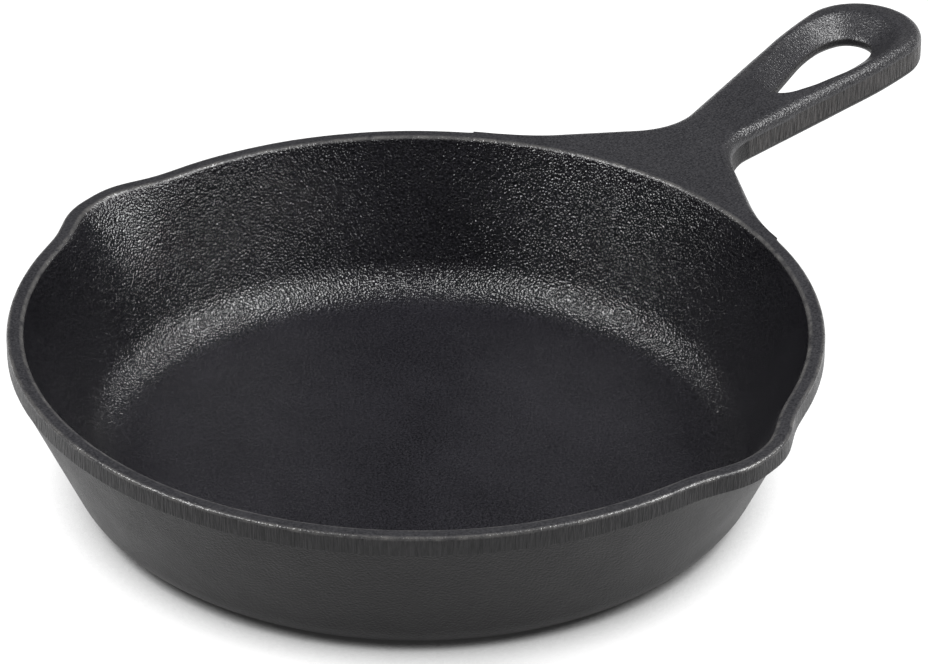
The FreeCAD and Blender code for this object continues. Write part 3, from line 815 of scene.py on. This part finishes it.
def noise_node(tree, coordinates, cell, detail=2.0, roughness=0.5, stretch=None):
    """Cast texture with features of about one cell, in millimetres."""
    if stretch is not None:
        mapping = tree.nodes.new("ShaderNodeMapping")
        mapping.inputs["Scale"].default_value = stretch
        tree.links.new(coordinates, mapping.inputs["Vector"])
        coordinates = mapping.outputs["Vector"]
    node = tree.nodes.new("ShaderNodeTexNoise")
    node.inputs["Scale"].default_value = 1 / (cell * MM)
    node.inputs["Detail"].default_value = detail
    node.inputs["Roughness"].default_value = roughness
    tree.links.new(coordinates, node.inputs["Vector"])
    return node.outputs["Fac"]


def pebble_node(tree, coordinates, cell):
    """Rounded grains of moulding sand, about one cell wide."""
    node = tree.nodes.new("ShaderNodeTexVoronoi")
    node.feature = "SMOOTH_F1"
    node.inputs["Scale"].default_value = 1 / (cell * MM)
    node.inputs["Smoothness"].default_value = 0.35
    tree.links.new(coordinates, node.inputs["Vector"])
    return math_node(tree, "SUBTRACT", 1.0, node.outputs["Distance"])


def bump_node(tree, height, strength, depth, normal=None):
    """Tilt the surface by a height from 0 to 1, depth millimetres tall."""
    node = tree.nodes.new("ShaderNodeBump")
    node.inputs["Distance"].default_value = depth * MM
    if isinstance(strength, float):
        node.inputs["Strength"].default_value = strength
    else:
        tree.links.new(strength, node.inputs["Strength"])
    tree.links.new(height, node.inputs["Height"])
    if normal is not None:
        tree.links.new(normal, node.inputs["Normal"])
    return node.outputs["Normal"]


def math_node(tree, operation, first, second):
    node = tree.nodes.new("ShaderNodeMath")
    node.operation = operation
    for socket, value in zip(node.inputs, (first, second)):
        if isinstance(value, (int, float)):
            socket.default_value = value
        else:
            tree.links.new(value, socket)
    return node.outputs["Value"]


# Brighter colour for the edges: partly bare iron worn through, partly a painted highlight along the
# rounded edges.
WORN_AND_HIGHLIT_COLOUR = (0.10, 0.097, 0.094, 1)
RUBBED_GLOSS = 0.22            # how much smoother a rubbed edge is


def iron(name, dark, light, gloss, grains, worn_and_highlit=0.5, mask=None, gleam=0.5):
    """Seasoned cast iron.

    dark and light are the ends of its colour and gloss the ends of its roughness. grains is a
    list of (cell, depth, kind), the first two in millimetres. A kind is "pebbles", a stretch of
    the noise along each axis, or None. worn is how strongly the edges are painted brighter and
    smoother: partly real wear, partly a painted highlight along them. gleam is the strength of the
    reflections. mask is (z at 0, z at 1, grain left at 0), in millimetres; above z at 0 it also
    paints the colour darker, a painted shade on the walls.
    """
    material = bpy.data.materials.new(name)
    material.use_nodes = True
    tree = material.node_tree
    shader = tree.nodes["Principled BSDF"]
    shader.inputs["Specular IOR Level"].default_value = gleam
    coordinates = tree.nodes.new("ShaderNodeTexCoord").outputs["Object"]

    patches = noise_node(tree, coordinates, 22.0, 4.0, 0.6)
    streaked = grains[0][2] if isinstance(grains[0][2], tuple) else None
    speckle = noise_node(tree, coordinates, 0.42, 2.0, 0.6, streaked)
    blend = math_node(tree, "ADD", math_node(tree, "MULTIPLY", patches, 0.2),
                      math_node(tree, "MULTIPLY", speckle, 0.8))
    strength = 1.0
    if mask is not None:
        split = tree.nodes.new("ShaderNodeSeparateXYZ")
        tree.links.new(coordinates, split.inputs["Vector"])
        ramp = tree.nodes.new("ShaderNodeMapRange")
        ramp.interpolation_type = "SMOOTHSTEP"
        ramp.inputs["From Min"].default_value = mask[0] * MM
        ramp.inputs["From Max"].default_value = mask[1] * MM
        ramp.inputs["To Min"].default_value = mask[2]
        ramp.inputs["To Max"].default_value = 1.0
        tree.links.new(split.outputs["Z"], ramp.inputs["Value"])
        strength = ramp.outputs["Result"]
        # Painted shade: from the floor up onto the walls the colour is made darker.
        painted_wall_shade = math_node(tree, "MULTIPLY", math_node(tree, "SUBTRACT", strength, mask[2]), 0.35)
        blend = math_node(tree, "SUBTRACT", blend, painted_wall_shade)
    colour = tree.nodes.new("ShaderNodeValToRGB")
    for stop, position, shade in zip(colour.color_ramp.elements, (0.35, 0.65), (dark, light)):
        stop.position = position
        stop.color = (*shade, 1)
    tree.links.new(blend, colour.inputs["Fac"])

    # Edge brightening read from the mesh: partly real wear, partly a painted highlight on the rounded
    # edges.
    attribute = tree.nodes.new("ShaderNodeAttribute")
    attribute.attribute_name = "wear_and_highlight"
    broken = noise_node(tree, coordinates, 3.0, 5.0, 0.7)
    rubbed_and_highlit = math_node(tree, "MULTIPLY", attribute.outputs["Fac"],
                       math_node(tree, "MULTIPLY", lerp_node(tree, broken, -1.1, 2.2), worn_and_highlit))
    limited = tree.nodes.new("ShaderNodeClamp")
    tree.links.new(rubbed_and_highlit, limited.inputs["Value"])
    rubbed_and_highlit = limited.outputs["Result"]

    mix = tree.nodes.new("ShaderNodeMix")
    mix.data_type = "RGBA"
    mix.inputs["B"].default_value = WORN_AND_HIGHLIT_COLOUR
    tree.links.new(rubbed_and_highlit, mix.inputs["Factor"])
    tree.links.new(colour.outputs["Color"], mix.inputs["A"])
    tree.links.new(mix.outputs["Result"], shader.inputs["Base Color"])

    rough = lerp_node(tree, noise_node(tree, coordinates, 7.0, 4.0, 0.6), *gloss)
    tree.links.new(math_node(tree, "SUBTRACT", rough, math_node(tree, "MULTIPLY", rubbed_and_highlit, RUBBED_GLOSS)),
                   shader.inputs["Roughness"])

    normal = None
    for cell, depth, stretch in grains:
        if stretch == "pebbles":
            height = pebble_node(tree, coordinates, cell)
        else:
            height = noise_node(tree, coordinates, cell, 1.5, 0.55, stretch)
        normal = bump_node(tree, height, strength, depth, normal)
    tree.links.new(normal, shader.inputs["Normal"])
    return material


def make_materials():
    return {
        # Its mask also paints the walls above the floor darker than the floor: painted shade.
        "interior": iron("seasoned_interior", (0.0008, 0.0007, 0.0016), (0.0205, 0.0198, 0.0240),
                         (0.19, 0.27), [(0.46, 0.16, "pebbles"), (0.34, 0.07, None)],
                         mask=(4.0, 6.5, 0.8)),
        "exterior": iron("seasoned_exterior", (0.0020, 0.0018, 0.0024), (0.0080, 0.0075, 0.0084),
                         (0.34, 0.48), [(0.5, 0.20, None), (0.34, 0.08, None)], gleam=0.18),
        "band": iron("ground_band", (0.001, 0.001, 0.0015), (0.022, 0.021, 0.0225),
                     (0.30, 0.44), [(0.32, 0.40, (1, 1, 0.10)), (0.3, 0.06, None)], worn_and_highlit=1.0,
                     gleam=0.3),
        "rim_top": iron("smooth_rim", (0.008, 0.008, 0.010), (0.036, 0.0355, 0.039),
                        (0.32, 0.44), [(0.5, 0.14, None), (0.3, 0.05, None)], worn_and_highlit=1.0),
        "handle_top": iron("smooth_handle", (0.008, 0.008, 0.010), (0.040, 0.0395, 0.043),
                           (0.26, 0.37), [(0.48, 0.20, None), (0.33, 0.07, None)], worn_and_highlit=0.12),
        "handle_side": iron("ground_side", (0.001, 0.001, 0.0012), (0.048, 0.044, 0.043),
                            (0.32, 0.46), [(0.50, 0.50, (1, 1, 0.12)), (0.35, 0.06, None)],
                            gleam=0.25),
    }


# ---------------------------------------------------------------- floor, light and camera

def make_floor():
    mesh = bpy.data.meshes.new("Backdrop_Floor")
    mesh.from_pydata([(-4, -4, 0), (4, -4, 0), (4, 4, 0), (-4, 4, 0)], [], [(0, 1, 2, 3)])
    floor = bpy.data.objects.new("Backdrop_Floor", mesh)
    bpy.context.scene.collection.objects.link(floor)
    material = bpy.data.materials.new("backdrop_paper")
    material.use_nodes = True
    shader = material.node_tree.nodes["Principled BSDF"]
    shader.inputs["Base Color"].default_value = (0.12, 0.12, 0.12, 1)
    shader.inputs["Roughness"].default_value = 0.9
    shader.inputs["Specular IOR Level"].default_value = 0.2
    shader.inputs["Emission Color"].default_value = (1, 1, 1, 1)
    # Painted contact shadow: the backdrop's glow is dimmed where the pan closes it in nearby, measured
    # by ambient occlusion.
    contact = material.node_tree.nodes.new("ShaderNodeAmbientOcclusion")
    contact.inputs["Distance"].default_value = 30 * MM
    glow_with_painted_shadow = material.node_tree.nodes.new("ShaderNodeMapRange")
    glow_with_painted_shadow.inputs["From Min"].default_value = 0.2
    glow_with_painted_shadow.inputs["From Max"].default_value = 0.48
    glow_with_painted_shadow.inputs["To Min"].default_value = 0.02
    glow_with_painted_shadow.inputs["To Max"].default_value = 1.0
    material.node_tree.links.new(contact.outputs["AO"], glow_with_painted_shadow.inputs["Value"])
    material.node_tree.links.new(glow_with_painted_shadow.outputs["Result"], shader.inputs["Emission Strength"])
    mesh.materials.append(material)


def area_light(name, place, target, width, height, watts):
    data = bpy.data.lights.new(name, "AREA")
    data.shape = "RECTANGLE"
    data.size, data.size_y, data.energy = width, height, watts
    light = bpy.data.objects.new(name, data)
    light.location = place
    light.rotation_euler = (Vector(target) - Vector(place)).to_track_quat("-Z", "Y").to_euler()
    bpy.context.scene.collection.objects.link(light)


ROOM_GLOW = 0.085
SOFTBOX = 0.34                 # side of a softbox, in metres
SOFTBOX_WATTS = 9.5
PAN_MIDDLE = (0.0, 0.0, 0.02)


def make_studio():
    """A dim room, white to the eye, with a softbox on each side and a small card on the right."""
    world = bpy.data.worlds.new("white_studio")
    world.use_nodes = True
    tree = world.node_tree
    room = tree.nodes["Background"]
    room.inputs["Color"].default_value = (1, 1, 1, 1)
    room.inputs["Strength"].default_value = ROOM_GLOW
    seen = tree.nodes.new("ShaderNodeBackground")
    seen.inputs["Strength"].default_value = 1.0
    seen.inputs["Color"].default_value = (1, 1, 1, 1)
    mix = tree.nodes.new("ShaderNodeMixShader")
    tree.links.new(tree.nodes.new("ShaderNodeLightPath").outputs["Is Camera Ray"], mix.inputs["Fac"])
    tree.links.new(room.outputs["Background"], mix.inputs[1])
    tree.links.new(seen.outputs["Background"], mix.inputs[2])
    tree.links.new(mix.outputs["Shader"], tree.nodes["World Output"].inputs["Surface"])
    bpy.context.scene.world = world
    area_light("right_box", (0.42, -0.42, 0.75), PAN_MIDDLE, SOFTBOX, SOFTBOX, SOFTBOX_WATTS)
    area_light("left_box", (-0.43, 0.40, 0.75), PAN_MIDDLE, SOFTBOX, SOFTBOX, SOFTBOX_WATTS)
    area_light("right_card", (0.17, -0.76, 0.57), PAN_MIDDLE, 0.13, 0.11, 2.2)
    bpy.context.scene.view_settings.view_transform = "Standard"


CAMERA_AZIMUTH = math.radians(53.788)     # from the handle's way round to the camera's right
CAMERA_RISE = math.radians(29.977)
CAMERA_ROLL = math.radians(0.427)
CAMERA_DEPTH = 1110.946                   # to the rim's centre, along the view
RIM_CENTRE_RIGHT = -0.0086835             # where that centre lies, as a slope from the axis
RIM_CENTRE_DOWN = -0.0020579
CAMERA_LENS = 213.73


def make_camera():
    ca, sa = math.cos(CAMERA_AZIMUTH), math.sin(CAMERA_AZIMUTH)
    ce, se = math.cos(CAMERA_RISE), math.sin(CAMERA_RISE)
    cr, sr = math.cos(CAMERA_ROLL), math.sin(CAMERA_ROLL)
    turn = Matrix(((ca, -sa, 0), (sa, ca, 0), (0, 0, 1)))
    tilt = Matrix(((1, 0, 0), (0, -se, -ce), (0, ce, -se)))
    roll = Matrix(((cr, -sr, 0), (sr, cr, 0), (0, 0, 1)))
    axes = roll @ tilt @ turn             # rows: right, down and forward
    centre = Vector((RIM_CENTRE_RIGHT, RIM_CENTRE_DOWN, 1)) * CAMERA_DEPTH
    place = -(axes.transposed() @ centre) + Vector((0, 0, RIM_Z))
    data = bpy.data.cameras.new("camera")
    data.lens, data.sensor_width = CAMERA_LENS, 36.0
    data.clip_start, data.clip_end = 0.05, 20.0
    camera = bpy.data.objects.new("camera", data)
    facing = Matrix((axes[0], -axes[1], -axes[2])).transposed()
    camera.matrix_world = Matrix.Translation(place * MM) @ facing.to_4x4()
    bpy.context.scene.collection.objects.link(camera)
    bpy.context.scene.camera = camera


def main():
    materials = make_materials()
    quarter, half_rim = COLUMNS // 2, COLUMNS
    arc_columns = half_rim - 2 * LIP_COLUMNS
    pieces = [
        (make_pan_floor(materials), "pan_floor", "cooking_floor"),
        (make_side_wall(materials), "side_wall", "wall"),
        (make_rim_part("Rim_Handle_Side", LIP_COLUMNS - quarter, arc_columns, materials),
         "rim_handle_side", "ground_rim"),
        (make_rim_part("Rim_Far_Side", quarter + LIP_COLUMNS, arc_columns, materials),
         "rim_far_side", "ground_rim"),
        (make_rim_part("Pour_Lip_Left", quarter - LIP_COLUMNS, 2 * LIP_COLUMNS, materials),
         "pour_lip_left", "ground_rim"),
        (make_rim_part("Pour_Lip_Right", -quarter - LIP_COLUMNS, 2 * LIP_COLUMNS, materials),
         "pour_lip_right", "ground_rim"),
        (make_handle_part("Handle_Root", 0.0, AT_NECK_START, 0.4, "exterior", materials),
         "handle_root", "handle"),
        (make_handle_part("Handle_Neck", AT_NECK_START, AT_NECK_END, 0.35, "handle_side", materials),
         "handle_neck", "handle"),
        (make_hanging_loop(materials), "hanging_loop", "handle"),
    ]
    for piece, node, slot in pieces:
        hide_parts(node)
    make_floor()
    make_studio()
    make_camera()


main()
